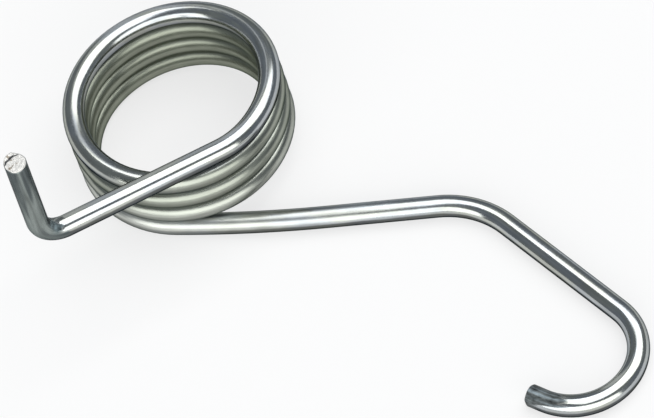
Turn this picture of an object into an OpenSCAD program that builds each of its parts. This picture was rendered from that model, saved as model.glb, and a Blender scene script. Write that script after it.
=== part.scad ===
// Torsion spring, bent from one length of round wire. The coil is wound left hand and rests on
// its lowest turn. The long leg, the elbow and the hook lie flat beside it. The front leg crosses
// over the top turn and ends in a pin that stands up.

/* [Wire] */
// Diameter of the wire
wire_d = 2.5; // [2:0.1:2.8]

/* [Coil] */
// Inside diameter of the coil
coil_inside_d = 20.25; // [19:0.25:26]
// Gap between one turn and the next
turn_gap = 0.1; // [0.1:0.05:0.5]
// Half turns above the lowest one
half_turns = 7; // [3:2:11]
// How far the lowest turn runs flat before the long leg leaves it, in degrees
flat_angle = 120; // [90:5:150]

/* [Long leg] */
// Centreline radius of the slight bow where the leg leaves the coil
bow_r = 150; // [100:10:300]
// Angle of the bow, in degrees
bow_angle = 6.5; // [2:0.5:10]
// Straight length of the long leg
long_leg_l = 12.4; // [8:0.2:30]
// Centreline radius of the elbow
elbow_r = 10.5; // [5:0.5:15]
// Angle of the elbow, in degrees
elbow_angle = 46.5; // [20:0.5:80]

/* [Hook] */
// Straight length between the elbow and the hook
shank_l = 17.3; // [8:0.1:30]
// Centreline radius of the hook
hook_r = 6.9; // [4:0.1:10]
// Angle of the hook, in degrees
hook_angle = 165; // [120:1:190]
// Straight length at its tip
hook_tip_l = 2.2; // [1:0.1:6]
// Slant of the sheared face on the tip, in degrees
hook_slant = 15; // [0:1:25]

/* [Front leg and pin] */
// Centreline radius of the bend that turns the wire in across the top turn
crossing_r = 9.5; // [7:0.5:11]
// Angle of that bend, in degrees
crossing_angle = 27; // [24:1:36]
// Lean of that bend, which lifts the leg clear of the turn that it crosses, in degrees
crossing_lean = 7; // [7:1:14]
// Straight length of the front leg
front_leg_l = 18.7; // [14:0.1:26]
// Centreline radius of the bend at the foot of the pin
pin_bend_r = 3; // [2:0.5:6]
// Angle of that bend, in degrees
pin_bend_angle = 88.5; // [80:0.5:100]
// Straight length of the pin, up to the top of its lip
pin_l = 10.8; // [6:0.1:16]
// Slant of the sheared face on its end, in degrees
pin_slant = 6; // [0:1:15]
// Height of the lip that the shear left on the rim
lip_h = 0.5; // [0.2:0.05:0.6]
// Thickness of the lip
lip_t = 0.45; // [0.2:0.05:0.6]

/* [Hidden] */

wire_r = wire_d / 2;
coil_r = coil_inside_d / 2 + wire_r;
// Each half turn is a flat arc, and two of them drop the wire by one pitch. They meet in line,
// each tilted the other way from the coil's axis by this angle.
turn_tilt = asin((wire_d + turn_gap) / (4 * coil_r));
// Twist that stands the pin up along the coil's axis
pin_twist = 97.5;
// The lip is what is left of the rim beside a round pocket, and it stands on this side
lip_turn = 106;
pocket_r = wire_d;
wire_sides = 48;
ring_steps = 180;
// A ball this much wider than the wire closes each place where two steps meet
ball_extra = 0.01;
// The shear takes at least this much off the hook's tip, all round
tip_trim = 0.1;

// The wire is bent step by step, as on a bending machine. It runs along +X, and a step is
// [radius, angle, twist]: a twist about its own line, then a bend to the left, or to the right
// where the angle is below 0. A straight step is [0, length].
function straight(length) = [0, length];
function bend(radius, angle, twist = 0) = [radius, angle, twist];

// Both routes start where the lowest turn first lies flat
tail_route = [
    bend(coil_r, flat_angle),
    bend(bow_r, bow_angle),
    straight(long_leg_l),
    bend(elbow_r, -elbow_angle),
    straight(shank_l),
    bend(hook_r, -hook_angle),
    straight(hook_tip_l)
];
head_route = [
    for (i = [1:half_turns]) bend(coil_r, -180, -2 * turn_tilt),
    bend(crossing_r, -crossing_angle, -turn_tilt - crossing_lean),
    straight(front_leg_l),
    bend(pin_bend_r, pin_bend_angle, pin_twist),
    straight(pin_l)
];

// Puts its children on the end of a step, with the wire's new line along +X
module at_end(s) {
    side = sign(s[1]) * s[0];
    if (s[0] == 0) translate([s[1], 0, 0]) children();
    else rotate([s[2], 0, 0]) translate([0, side, 0]) rotate(s[1]) translate([0, -side, 0]) children();
}

module ring(radius, angle) {
    translate([0, radius, 0]) rotate(-90)
        rotate_extrude(angle = angle, $fn = ring_steps)
            translate([radius, 0]) circle(d = wire_d, $fn = wire_sides);
}

module wire_step(s) {
    if (s[0] == 0) rotate([0, 90, 0]) cylinder(d = wire_d, h = s[1], $fn = wire_sides);
    else rotate([s[2], 0, 0]) mirror([0, s[1] < 0 ? 1 : 0, 0]) ring(s[0], abs(s[1]));
}

module joining_ball() {
    rotate([0, 90, 0]) sphere(d = wire_d + ball_extra, $fn = wire_sides);
}

// All that lies past a face across the wire, a way back from its end and slanted
module past_face(back, slant) {
    translate([-back, 0, 0]) rotate([0, slant, 0])
        translate([0, -2 * wire_d, -2 * wire_d]) cube(4 * wire_d);
}

// Bends the wire from step i on, and takes its children off the free end
module bent_wire(route, i = 0) {
    if (i == len(route) - 1) difference() {
        wire_step(route[i]);
        at_end(route[i]) children();
    } else {
        union() {
            wire_step(route[i]);
            at_end(route[i]) joining_ball();
        }
        at_end(route[i]) bent_wire(route, i + 1) children();
    }
}

module hook_cut() {
    past_face(tip_trim + wire_r * tan(hook_slant), -hook_slant);
}

module pin_cut() {
    intersection() {
        past_face(lip_h, pin_slant);
        rotate([lip_turn, 0, 0]) translate([-2 * wire_d, wire_r - lip_t - pocket_r, 0])
            rotate([0, 90, 0]) cylinder(r = pocket_r, h = 4 * wire_d, $fn = wire_sides);
    }
}

module spring_wire() {
    color("lightsteelblue")
        rotate(270 - bow_angle - flat_angle) translate([coil_r, 0, wire_r + ball_extra / 2]) {
            union() {
                rotate(90) bent_wire(tail_route) hook_cut();
                rotate(90) joining_ball();
            }
            rotate(-90) bent_wire(head_route) pin_cut();
        }
}

spring_wire();
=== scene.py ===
import math

import bpy
from mathutils import Matrix, Vector, noise


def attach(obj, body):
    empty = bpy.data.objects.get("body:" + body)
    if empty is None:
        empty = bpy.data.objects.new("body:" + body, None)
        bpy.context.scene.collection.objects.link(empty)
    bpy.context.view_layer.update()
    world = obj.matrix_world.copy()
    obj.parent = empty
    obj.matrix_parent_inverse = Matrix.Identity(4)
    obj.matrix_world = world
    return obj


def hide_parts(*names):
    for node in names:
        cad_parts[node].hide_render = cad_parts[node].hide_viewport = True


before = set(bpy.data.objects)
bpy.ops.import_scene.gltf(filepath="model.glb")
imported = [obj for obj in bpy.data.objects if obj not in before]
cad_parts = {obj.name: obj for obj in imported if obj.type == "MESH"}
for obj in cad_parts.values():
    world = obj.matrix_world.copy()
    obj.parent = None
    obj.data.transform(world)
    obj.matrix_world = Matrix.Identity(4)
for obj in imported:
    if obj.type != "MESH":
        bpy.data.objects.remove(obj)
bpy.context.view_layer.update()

MM = 0.001


# ---- The wire: its shape ------------------------------------------------------------------------
# One length of hard drawn spring steel wire. It is wound and bent cold on a wire bending machine,
# step by step, so it is made the same way here: the open end of a tube is fed straight on, or is
# turned round a bending pin.

WIRE_R = 1.25 * MM
COIL_R = 11.375 * MM
PITCH = 2.6 * MM
SIDES = 72
RING_STEP = 1.5 * MM
RING_ANGLE = math.radians(4)
SHEAR_ZONE = 1.2 * MM
SHEAR_RINGS = 10
FLAT_ANGLE = math.radians(120)
HALF_TURNS = 7
BOW_R = 150 * MM
BOW_ANGLE = math.radians(6.5)
LONG_LEG = 12.4 * MM
ELBOW_R = 10.5 * MM
ELBOW_ANGLE = math.radians(46.5)
SHANK = 17.3 * MM
HOOK_R = 6.9 * MM
HOOK_ANGLE = math.radians(165)
HOOK_TIP = 2.1 * MM
CROSSING_R = 9.5 * MM
CROSSING_ANGLE = math.radians(27)
CROSSING_LEAN = math.radians(7)
FRONT_LEG = 18.7 * MM
PIN_BEND_R = 3 * MM
PIN_BEND_ANGLE = math.radians(88.5)
PIN_TWIST = math.radians(97.5)
PIN = 10.3 * MM
FLOOR_GAP = 0.005 * MM
# The half turns of the coil are flat arcs, tilted by turns to one side and to the other
TURN_TILT = math.asin(PITCH / (4 * COIL_R))


class Bender:
    """Feeds the open end of the tube on. place holds where that end is: the wire's line is its X axis,
    and it bends round its Z axis. fed is how much wire each ring of the tube has behind it."""

    def __init__(self, place):
        self.place = place
        self.fed = []
        self.length = 0.0

    def feed(self, length, steps):
        self.fed += [self.length + length * (i + 1) / steps for i in range(steps)]
        self.length += length

    def straight(self, length, steps=None):
        steps = steps or math.ceil(length / RING_STEP)
        step = self.place.to_3x3() @ Vector((length / steps, 0, 0))
        bpy.ops.mesh.extrude_repeat(steps=steps, offset=step, scale_offset=1.0)
        self.feed(length, steps)
        self.place = self.place @ Matrix.Translation((length, 0, 0))

    def bend(self, radius, angle, twist=0.0):
        """Bends the wire to the left, or to the right where the angle is below 0, after a twist
        about its own line."""
        self.place = self.place @ Matrix.Rotation(twist, 4, "X")
        to_pin = Matrix.Translation((0, math.copysign(radius, angle), 0))
        pin = self.place @ to_pin
        length = radius * abs(angle)
        steps = math.ceil(max(abs(angle) / RING_ANGLE, length / RING_STEP))
        bpy.ops.mesh.spin(
            steps=steps,
            angle=-angle,
            center=pin.translation,
            axis=pin.to_3x3() @ Vector((0, 0, 1)),
            use_auto_merge=False,
        )
        self.feed(length, steps)
        self.place = pin @ Matrix.Rotation(angle, 4, "Z") @ to_pin.inverted()


# Gaps between the rings of a closed end, and how many there are of each, from the rim in
END_RINGS = ((0.04 * MM, 12), (0.085 * MM, 8))


def close_end():
    """Fills the open end and cuts the face into rings, close together near its rim."""
    bpy.ops.mesh.edge_face_add()
    for gap, count in END_RINGS:
        for ring in range(count):
            bpy.ops.mesh.inset(thickness=gap, use_boundary=True)
    bpy.ops.mesh.poke()


def select_only(picked):
    """Selects just these vertices of the mesh in edit mode."""
    bpy.ops.mesh.select_all(action="DESELECT")
    bpy.ops.object.mode_set(mode="OBJECT")
    for vertex in wire.data.vertices:
        vertex.select = vertex.index in picked
    bpy.ops.object.mode_set(mode="EDIT")
    bpy.ops.mesh.select_mode(type="VERT")


# The first ring stands where the lowest turn first lies flat
start = (
    Matrix.Rotation(math.radians(270) - BOW_ANGLE - FLAT_ANGLE, 4, "Z")
    @ Matrix.Translation((COIL_R, 0, WIRE_R + FLOOR_GAP))
    @ Matrix.Rotation(math.radians(90), 4, "Z")
)
bpy.ops.object.select_all(action="DESELECT")
bpy.ops.mesh.primitive_circle_add(vertices=SIDES, radius=WIRE_R, fill_type="NOTHING")
wire = bpy.context.object
wire.name = "bent_wire"
wire.data.name = "bent_wire"
wire.data.transform(start @ Matrix.Rotation(math.radians(90), 4, "Y"))
bpy.ops.object.mode_set(mode="EDIT")
bpy.ops.mesh.select_all(action="SELECT")

tail = Bender(start)
tail.bend(COIL_R, FLAT_ANGLE)
tail.bend(BOW_R, BOW_ANGLE)
tail.straight(LONG_LEG)
tail.bend(ELBOW_R, -ELBOW_ANGLE)
tail.straight(SHANK)
tail.bend(HOOK_R, -HOOK_ANGLE)
tail.straight(HOOK_TIP - SHEAR_ZONE)
tail.straight(SHEAR_ZONE, SHEAR_RINGS)
close_end()

select_only(range(SIDES))
head_first = len(wire.data.vertices)
head = Bender(start @ Matrix.Rotation(math.pi, 4, "Z"))
for half_turn in range(HALF_TURNS):
    head.bend(COIL_R, -math.pi, -2 * TURN_TILT)
head.bend(CROSSING_R, -CROSSING_ANGLE, -TURN_TILT - CROSSING_LEAN)
head.straight(FRONT_LEG)
head.bend(PIN_BEND_R, PIN_BEND_ANGLE, PIN_TWIST)
head.straight(PIN - SHEAR_ZONE)
head.straight(SHEAR_ZONE, SHEAR_RINGS)
close_end()
bpy.ops.mesh.select_all(action="SELECT")
bpy.ops.mesh.normals_make_consistent(inside=False)
bpy.ops.object.mode_set(mode="OBJECT")

# Where each vertex stood while the wire was straight: how far along, from the pin's end on, and
# where across. The finish follows it round every bend.
wire.data.attributes.new("wire_place", "FLOAT_VECTOR", "POINT")
wire.data.attributes.new("torn_face", "FLOAT", "POINT")
wire_place = wire.data.attributes["wire_place"]
torn_face = wire.data.attributes["torn_face"]


def mark(first, last, fed):
    """Marks one run's rings, of which fed gives the places, and then its closed end."""
    points = [vertex.co for vertex in wire.data.vertices[first:last]]
    # The last ring counts as part of the closed end, because the insets moved its vertices inward
    on_tube = (len(fed) - 1) * SIDES
    for index in range(on_tube):
        turn = 2 * math.pi * index / SIDES
        place = (fed[index // SIDES], WIRE_R * math.cos(turn), WIRE_R * math.sin(turn))
        wire_place.data[first + index].vector = place
    ring = points[on_tube - SIDES:on_tube]
    middle = sum(ring, Vector()) / SIDES
    right = (ring[0] - middle) / WIRE_R
    up = (ring[SIDES // 4] - middle) / WIRE_R
    for index, point in enumerate(points[on_tube:], first + on_tube):
        across = point - middle
        place = Vector((fed[-1], across.dot(right), across.dot(up)))
        wire_place.data[index].vector = place
        torn_face.data[index].value = place.yz.length < 0.999 * WIRE_R


mark(0, head_first, [head.length] + [head.length + length for length in tail.fed])
mark(head_first, len(wire.data.vertices), [head.length - length for length in head.fed])


# ---- The wire: its sheared ends -----------------------------------------------------------------
# Both ends are cropped by a shear. It rolls the rim over where the blade enters, tears the face
# rough, and on the pin it leaves a thin lip standing on the far side.


def smooth(value, low, high):
    """Rises softly from 0 at low to 1 at high."""
    up = min(max((value - low) / (high - low), 0), 1)
    return up * up * (3 - 2 * up)


def tear(y, z, size, seed):
    """Uneven height from -1 to 1 with lumps of about this size."""
    return noise.noise(Vector((y / size, z / size, seed)))


def hook_face(y, z):
    """How far the sheared face of the hook's tip stands out from the end of the wire, and how bare
    it is there."""
    crown = HOOK_CROWN * (1 - (y / WIRE_R) ** 2)
    low_corner = HOOK_CORNER.dot(Vector((y, z))) / WIRE_R - HOOK_CORNER_FROM
    level = crown - HOOK_CORNER_CUT * max(low_corner, 0) - (WIRE_R + z) * math.tan(HOOK_SLANT)
    return level + 0.04 * MM * tear(y, z, 0.35 * MM, 1), 0.6


def pin_face(y, z):
    """The same for the pin, with the lip that stands where the rim is left beside a round pocket."""
    spot = Vector((y, z))
    pocket = LIP_SIDE * (WIRE_R - LIP_T - POCKET_R)
    uneven = 0.12 * MM * tear(y, z, 0.4 * MM, 2) + 0.05 * MM * tear(y, z, 0.17 * MM, 3)
    past_pocket = (spot - pocket).length - POCKET_R + uneven
    beside = abs(LIP_SIDE.cross(spot)) / WIRE_R
    curl = 0.5 + 0.4 * smooth(past_pocket, 0, LIP_T)
    top = LIP_H * (curl - 0.4 * smooth(beside, 0.3, 0.8) + 0.16 * tear(y, z, 0.28 * MM, 4))
    level = z * math.tan(PIN_SLANT) + 0.04 * MM * tear(y, z, 0.3 * MM, 5)
    # The blade rolled the rim over on the near side
    entry = smooth(-spot.dot(LIP_SIDE) / WIRE_R, 0.1, 0.7)
    from_rim = WIRE_R - spot.length + 0.06 * MM * tear(y, z, 0.3 * MM, 6)
    level -= ROLLOVER * entry * (1 - smooth(from_rim, 0, ROLL_WIDTH)) ** 1.5
    up = smooth(past_pocket, 0, LIP_FOOT)
    # The pocket's wall and the far rim are left out of the bare face, so that they take painted shade
    # with some grime
    wall = smooth(past_pocket, -0.08 * MM, 0) * (1 - smooth(past_pocket, LIP_FOOT * 0.7, LIP_FOOT * 1.2))
    far_rim = smooth(FAR_RIM.dot(spot) / WIRE_R, 0.55, 0.8) * (1 - smooth(from_rim, 0.05 * MM, 0.12 * MM))
    return level * (1 - up) + max(top, level) * up, 1 - max(wall, 0.7 * far_rim)


def shape_end(bender, first, face):
    """Moves the vertices from first on that lie in the sheared end out to its face."""
    to_end = bender.place.inverted()
    for vertex in wire.data.vertices[first:]:
        x, y, z = to_end @ vertex.co
        if abs(x + SHEAR_ZONE / 2) < SHEAR_ZONE * 0.51 and math.hypot(y, z) < WIRE_R * 1.01:
            height, bare = face(y, z)
            torn_face.data[vertex.index].value *= bare
            # The rings crowd together towards the face and lean over with it
            near = 1 - (x / SHEAR_ZONE) ** 2
            x = (near - 1) * SHEAR_ZONE
            # The last of them draw in a little, so that the rim is round
            slack = RIM_ROUND * (1 - smooth(-x, 0, RIM_ROUND)) / WIRE_R
            slack *= smooth(math.hypot(y, z) / WIRE_R, 0.9, 1)
            y *= 1 - 0.5 * slack
            z *= 1 - 0.5 * slack
            vertex.co = bender.place @ Vector((x + near * height, y, z))


HOOK_SLANT = math.radians(15)
HOOK_CROWN = 0.33 * MM
HOOK_CORNER = Vector((0.81, -0.59))
HOOK_CORNER_FROM = 0.5
HOOK_CORNER_CUT = 0.8 * MM
PIN_SLANT = math.radians(6)
LIP_SIDE = Vector((math.cos(math.radians(106)), math.sin(math.radians(106))))
FAR_RIM = Vector((math.cos(math.radians(55)), math.sin(math.radians(55))))
LIP_H = 0.49 * MM
LIP_T = 0.5 * MM
LIP_FOOT = 0.1 * MM
POCKET_R = 2.5 * MM
ROLLOVER = 0.16 * MM
ROLL_WIDTH = 0.28 * MM
RIM_ROUND = 0.12 * MM
shape_end(tail, SIDES, hook_face)
shape_end(head, head_first, pin_face)
bpy.ops.object.shade_smooth_by_angle(angle=math.radians(50))

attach(wire, "root")
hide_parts("spring_wire")


# ---- The wire: its finish -----------------------------------------------------------------------
# Bright zinc plate on the drawn wire. It keeps the lengthwise lines of the drawing die, and is
# blotched faintly blue and green. It is darker on the pin, partly as painted reflection, and scuffed at
# the ends.
# Painted shade darkens the lower half of the wire and the inside of the coil, and a painted highlight
# brightens its low turns.

BLUISH_ZINC = (0.44, 0.465, 0.48, 1)
GREENISH_ZINC = (0.465, 0.48, 0.445, 1)
# The satin coil's olive is partly painted reflection: paler low turns are a painted highlight, the darker
# inside is painted shade
LOW_TURN_HIGHLIGHT_OLIVE = (0.53, 0.545, 0.51, 1)
HIGH_OLIVE = (0.31, 0.33, 0.285, 1)
INNER_SHADE_OLIVE = (0.28, 0.30, 0.245, 1)
PIN_DARK_REFLECTED = (0.095, 0.11, 0.112, 1)
PIN_PALE = (0.215, 0.24, 0.23, 1)
SCRAPED_BLUE = (0.11, 0.14, 0.15)
SCUFF_DARK = (0.09, 0.10, 0.10, 1)
SCUFF_BLUE = (0.14, 0.165, 0.18, 1)
TORN_STEEL = (0.68, 0.67, 0.645, 1)
SMUDGE_BROWN = (0.34, 0.30, 0.25, 1)
STEEP_SHADE_DARK = (0.02, 0.02, 0.025, 1)
GROOVE_SHADE_DARK = (0.03, 0.03, 0.035, 1)
GRAZING_TINT = (0.15, 0.17, 0.18, 1)
# Where each change along the wire begins and ends, in mm from the pin's end
PIN_FACE = (0.0, 0.08)
PIN_FOOT = (8, 11)
PIN_PLATE_END = (16.3, 17.0)
COIL_START = (34, 44)
SATIN_START = (88, 104)
COIL_END = (300, 325)
BOW_START = (300, 318)
BOW_END = (328, 350)
TIP_SCUFFS = (390.4, 391.6)
# Anywhere between the two ends: below it is the pin, above it the hook
MIDWAY = (100, 101)


class Signal:
    """A value on its way through the nodes of a finish. Arithmetic on it adds Math nodes."""

    def __init__(self, finish, socket):
        self.finish = finish
        self.socket = socket

    def math(self, operation, first, second):
        return self.finish.node("ShaderNodeMath", {"operation": operation}, {0: first, 1: second})

    def __add__(self, other):
        return self.math("ADD", self, other)

    def __radd__(self, other):
        return self.math("ADD", other, self)

    def __sub__(self, other):
        return self.math("SUBTRACT", self, other)

    def __rsub__(self, other):
        return self.math("SUBTRACT", other, self)

    def __mul__(self, other):
        return self.math("MULTIPLY", self, other)

    def __rmul__(self, other):
        return self.math("MULTIPLY", other, self)


class Finish:
    """A material that is put together from nodes."""

    def __init__(self, name):
        self.material = bpy.data.materials.new(name)
        self.material.use_nodes = True
        self.shader = self.material.node_tree.nodes["Principled BSDF"]

    def set(self, socket, value):
        if isinstance(value, Signal):
            self.material.node_tree.links.new(value.socket, socket)
        else:
            socket.default_value = value

    def node(self, kind, settings, values, output=0):
        """Adds any node: first its settings, then the values or links of its sockets."""
        new = self.material.node_tree.nodes.new(kind)
        for name, value in settings.items():
            setattr(new, name, value)
        for name, value in values.items():
            self.set(new.inputs[name], value)
        return Signal(self, new.outputs[output])

    def vector(self, operation, first, second):
        return self.node("ShaderNodeVectorMath", {"operation": operation}, {0: first, 1: second})

    def scaled(self, vector, scale):
        return self.node("ShaderNodeVectorMath", {"operation": "SCALE"}, {0: vector, "Scale": scale})

    def dot(self, first, second):
        settings = {"operation": "DOT_PRODUCT"}
        return self.node("ShaderNodeVectorMath", settings, {0: first, 1: second}, "Value")

    def cloud(self, place, size, detail):
        """Soft noise about 0.5, in patches of this size in mm along each axis of place."""
        stretched = self.vector("MULTIPLY", place, [1 / length for length in size])
        settings = {"Vector": stretched, "Scale": 1.0, "Detail": detail}
        return self.node("ShaderNodeTexNoise", {}, settings)

    def rise(self, value, low, high):
        """Rises softly from 0 where the value is low to 1 where it is high."""
        settings = {"interpolation_type": "SMOOTHSTEP"}
        return self.node("ShaderNodeMapRange", settings, {0: value, 1: low, 2: high})

    def mix(self, factor, first, second):
        """Goes from the first colour to the second as the factor goes from 0 to 1."""
        return self.node("ShaderNodeMix", {"data_type": "RGBA"}, {0: factor, 6: first, 7: second}, 2)


zinc = Finish("zinc plate")
per_mm = 1 / MM
place = zinc.node("ShaderNodeAttribute", {"attribute_name": "wire_place"}, {}, "Vector")
place = zinc.scaled(place, per_mm)
along = zinc.node("ShaderNodeSeparateXYZ", {}, {0: place})
torn = zinc.node("ShaderNodeAttribute", {"attribute_name": "torn_face"}, {}, "Fac")
spot = zinc.scaled(zinc.node("ShaderNodeTexCoord", {}, {}, "Object"), per_mm)
facing = zinc.node("ShaderNodeTexCoord", {}, {}, "Normal")
facing_up = zinc.node("ShaderNodeSeparateXYZ", {}, {0: facing}, "Z")


def around(degrees):
    """1 along the line on the wire at this angle round it, to -1 on the far side."""
    turn = math.radians(degrees)
    radius = WIRE_R * per_mm
    return zinc.dot(place, (0, math.cos(turn) / radius, math.sin(turn) / radius))


# The plate: bluish and greenish blotches and fine streaks, drawn out along the wire
streaks = zinc.cloud(place, (12, 0.3, 0.3), 3.0)
blotches = zinc.cloud(place, (2.6, 0.8, 0.8), 4.0)
tints = zinc.cloud(zinc.vector("ADD", place, (31, 7, 3)), (5, 0.9, 0.9), 2.0)
plate = zinc.mix(zinc.rise(tints, 0.38, 0.62), BLUISH_ZINC, GREENISH_ZINC)

# From late in the top turn on, the coil is satin and olive, inside and all round its outside. The olive
# is partly painted reflection of the neighbouring turns: paler on the low turns as a painted highlight,
# and darker inside the coil as painted shade.
flat_spot = zinc.vector("MULTIPLY", spot, (1, 1, 0))
outward = zinc.dot(facing, flat_spot)
inside = zinc.rise(0 - outward, -2, 6)
outside = zinc.rise(outward, 2, 8)
coil = zinc.rise(along, *COIL_START) * (1 - zinc.rise(along, *COIL_END))
satin_and_painted_sheen = zinc.rise(along, *SATIN_START) * coil * zinc.rise(inside + outside, 0.1, 0.9)
high = zinc.rise(zinc.node("ShaderNodeSeparateXYZ", {}, {0: spot}, "Z"), 2.0, 6.0)
olive_sheen_and_shade = zinc.mix(high, LOW_TURN_HIGHLIGHT_OLIVE, HIGH_OLIVE)
olive_sheen_and_shade = zinc.mix(inside, olive_sheen_and_shade, INNER_SHADE_OLIVE)
plate = zinc.mix(satin_and_painted_sheen, plate, olive_sheen_and_shade)
plate = zinc.scaled(plate, 0.45 + 0.55 * streaks + 0.55 * blotches)

# Painted shade: the lower half of the wire is darker all round, as a painted reflection of a dim room. It
# is weaker on the satin coil and inside it.
low = 1 - zinc.rise(facing_up + 0.1 * blotches, 0.2, 0.4)
low = low * (1 - 0.6 * satin_and_painted_sheen) * (1 - 0.6 * inside * coil)
plate = zinc.mix(low, plate, zinc.scaled(plate, 0.28))

# The pin is darker still, partly as a darker finish and partly as a painted reflection of a dim room,
# with long streaks all round it, and scuffed blue at its foot
ragged = along + 5 * blotches + 3 * streaks - 1.4 * zinc.rise(around(230), 0.0, 0.6)
pin = 1 - zinc.rise(ragged, *PIN_PLATE_END)
stripes = zinc.cloud(zinc.vector("ADD", place, (5, 3, 8)), (9, 0.7, 0.7), 1.0)
pin_plate_and_reflection = zinc.mix(zinc.rise(stripes, 0.40, 0.60), PIN_DARK_REFLECTED, PIN_PALE)
scraped = zinc.rise(facing_up, 0.2, 0.5) * zinc.rise(along, *PIN_FOOT) * pin
mottle = zinc.cloud(place, (0.8, 0.45, 0.45), 3.0)
pin_plate_and_reflection = zinc.mix(scraped, pin_plate_and_reflection, zinc.scaled(SCRAPED_BLUE, 4 * mottle - 1.1))
pin_plate_and_reflection = zinc.scaled(pin_plate_and_reflection, 1.4 * streaks + 0.9 * blotches - 0.15)
plate = zinc.mix(pin, plate, pin_plate_and_reflection)

# The hook's tip is scuffed dark on top
scuff_edge = along + 3 * zinc.rise(around(90), 0.45, 0.8) + 4 * blotches + 2 * streaks
scuffs = zinc.rise(scuff_edge, *TIP_SCUFFS)
scuffed = zinc.mix(zinc.rise(streaks, 0.48, 0.68), SCUFF_DARK, SCUFF_BLUE)
scuffed = zinc.scaled(scuffed, 1.8 * streaks + 2.8 * mottle - 1.3)
plate = zinc.mix(scuffs, plate, scuffed)

# The sheared faces are bare torn steel, with a few brown smudges. Where the pin's face is steep it is
# dark, as painted shade on the walls of its lip and pocket.
smudges = zinc.rise(zinc.cloud(place, (0.5, 0.6, 0.6), 2.0), 0.58, 0.70)
bare = zinc.mix(smudges, TORN_STEEL, SMUDGE_BROWN)
steep_painted_shade = 1 - zinc.rise(facing_up + zinc.rise(along, *MIDWAY), 0.05, 0.35)
bare = zinc.mix(steep_painted_shade, bare, STEEP_SHADE_DARK)
# Painted shade with some grime: dark in the groove at the lip's foot and round the rim of the pin's face,
# wherever that face is not bare
groove_shade_and_grime = (1 - zinc.rise(along, *PIN_FACE)) * (1 - torn)
plate = zinc.mix(groove_shade_and_grime, plate, GROOVE_SHADE_DARK)
plate = zinc.mix(torn, plate, bare)
zinc.set(zinc.shader.inputs["Base Color"], plate)

dullness = groove_shade_and_grime + 0.7 * scraped + 0.3 * pin + 0.65 * scuffs
dullness = zinc.node("ShaderNodeMath", {"operation": "MAXIMUM"}, {0: dullness, 1: 0.9 * torn * steep_painted_shade})
zinc.set(zinc.shader.inputs["Metallic"], 1 - dullness)
zinc.shader.inputs["Specular Tint"].default_value = GRAZING_TINT
bow = zinc.rise(along, *BOW_START) * (1 - zinc.rise(along, *BOW_END))
roughness = 0.08 + 0.08 * streaks + 0.06 * blotches + 0.10 * satin_and_painted_sheen + 0.07 * inside * satin_and_painted_sheen
roughness = roughness + 0.15 * bow + 0.12 * pin + 0.28 * scuffs + 0.04 * coil
zinc.set(zinc.shader.inputs["Roughness"], roughness + torn * 0.3)

grain = zinc.cloud(place, (0.12, 0.12, 0.12), 2.0)
waves = zinc.cloud(place, (7, 2, 2), 1.0)
lines = zinc.cloud(place, (20, 0.12, 0.12), 2.0)
height = 0.012 * waves + 0.0012 * lines + 0.0006 * grain + (torn * 0.04 + scuffs * 0.01) * grain
bump = zinc.node("ShaderNodeBump", {}, {"Strength": 1.0, "Distance": MM, "Height": height})
zinc.set(zinc.shader.inputs["Normal"], bump)
wire.data.materials.append(zinc.material)


# ---- The floor ----------------------------------------------------------------------------------
# A plain sheet of pale paper that the spring lies on. To the camera, and in the metal, it shows
# whiter than it is lit, and it keeps the spring's soft shadow.

FLOOR_SIZE = 8.0
PALE_GREY = (0.75, 0.75, 0.75, 1)
WHITE = (1, 1, 1, 1)
GLOW = 0.7  # how much of its look is plain white

bpy.ops.object.select_all(action="DESELECT")
bpy.ops.mesh.primitive_plane_add(size=FLOOR_SIZE)
floor = bpy.context.object
floor.name = "floor"
paper = Finish("pale paper")
paper.shader.inputs["Base Color"].default_value = PALE_GREY
paper.shader.inputs["Roughness"].default_value = 0.9
paper.shader.inputs["Specular IOR Level"].default_value = 0.1
camera_ray = paper.node("ShaderNodeLightPath", {}, {}, "Is Camera Ray")
glossy_ray = paper.node("ShaderNodeLightPath", {}, {}, "Is Glossy Ray")
clear_ray = paper.node("ShaderNodeLightPath", {}, {}, "Is Transmission Ray")
glow = paper.node("ShaderNodeEmission", {}, {"Color": WHITE, "Strength": 1.0})
lit = Signal(paper, paper.shader.outputs[0])
share = GLOW * (camera_ray + glossy_ray + clear_ray)
look = paper.node("ShaderNodeMixShader", {}, {0: share, 1: lit, 2: glow})
paper.set(paper.material.node_tree.nodes["Material Output"].inputs["Surface"], look)
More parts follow.
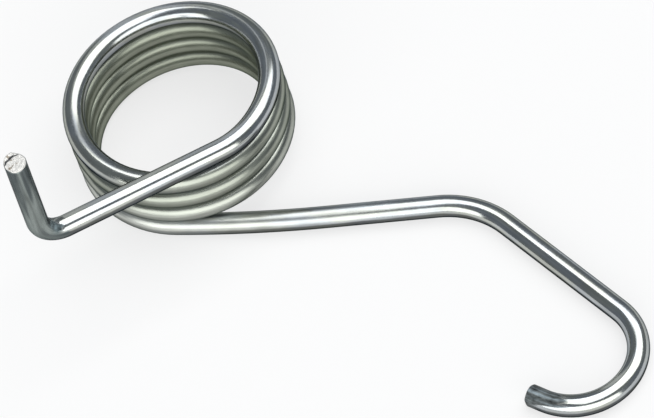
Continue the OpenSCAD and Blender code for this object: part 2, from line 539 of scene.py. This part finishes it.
floor.data.materials.append(paper.material)


# ---- The lamps ----------------------------------------------------------------------------------
# Three soft boxes in a dim room: a wide one overhead, a wide one in front, and a narrow one behind.


def soft_box(name, place, turns, width, height, radiance, tint=(1, 1, 1)):
    """A flat lamp. Before its turns it faces straight down. radiance is how bright its face looks,
    where 1 is white."""
    light = bpy.data.lights.new(name, "AREA")
    light.shape = "RECTANGLE"
    light.size = width
    light.size_y = height
    light.energy = radiance * math.pi * width * height
    light.color = tint
    lamp = bpy.data.objects.new(name, light)
    lamp.location = place
    lamp.rotation_euler = [math.radians(turn) for turn in turns]
    bpy.context.scene.collection.objects.link(lamp)


soft_box("overhead_box", (1.33, 1.12, 3.0), (0, 0, 30), 4.7, 3.4, 2.5)
soft_box("front_box", (0, -3.0, 1.65), (90, 0, 0), 8.0, 3.1, 2.3, tint=(1, 1, 0.98))
soft_box("strip_box", (-1.3, 3.4, 1.8), (-70, 0, 21), 0.8, 3.4, 0.5)

DIM_BLUE = (0.20, 0.22, 0.24, 1)

room = bpy.data.worlds.new("dim room")
room.use_nodes = True
room.node_tree.nodes["Background"].inputs["Color"].default_value = DIM_BLUE
bpy.context.scene.world = room


# ---- The camera ---------------------------------------------------------------------------------
# A long lens looks down on the spring from in front, a little turned about its own line.

TARGET = Vector((15.468, -10.348, 0)) * MM
DISTANCE = 550.5 * MM
ELEVATION = math.radians(54.97)
AZIMUTH = math.radians(12.43)
ROLL = math.radians(-15.64)

eye = bpy.data.cameras.new("camera")
eye.lens = 271.7
eye.sensor_width = 36
eye.clip_start = 0.01
camera = bpy.data.objects.new("camera", eye)
camera.matrix_world = (
    Matrix.Translation(TARGET)
    @ Matrix.Rotation(AZIMUTH, 4, "Z")
    @ Matrix.Rotation(math.pi / 2 - ELEVATION, 4, "X")
    @ Matrix.Rotation(ROLL, 4, "Z")
    @ Matrix.Translation((0, 0, DISTANCE))
)
bpy.context.scene.collection.objects.link(camera)
bpy.context.scene.camera = camera
bpy.context.scene.view_settings.view_transform = "Standard"
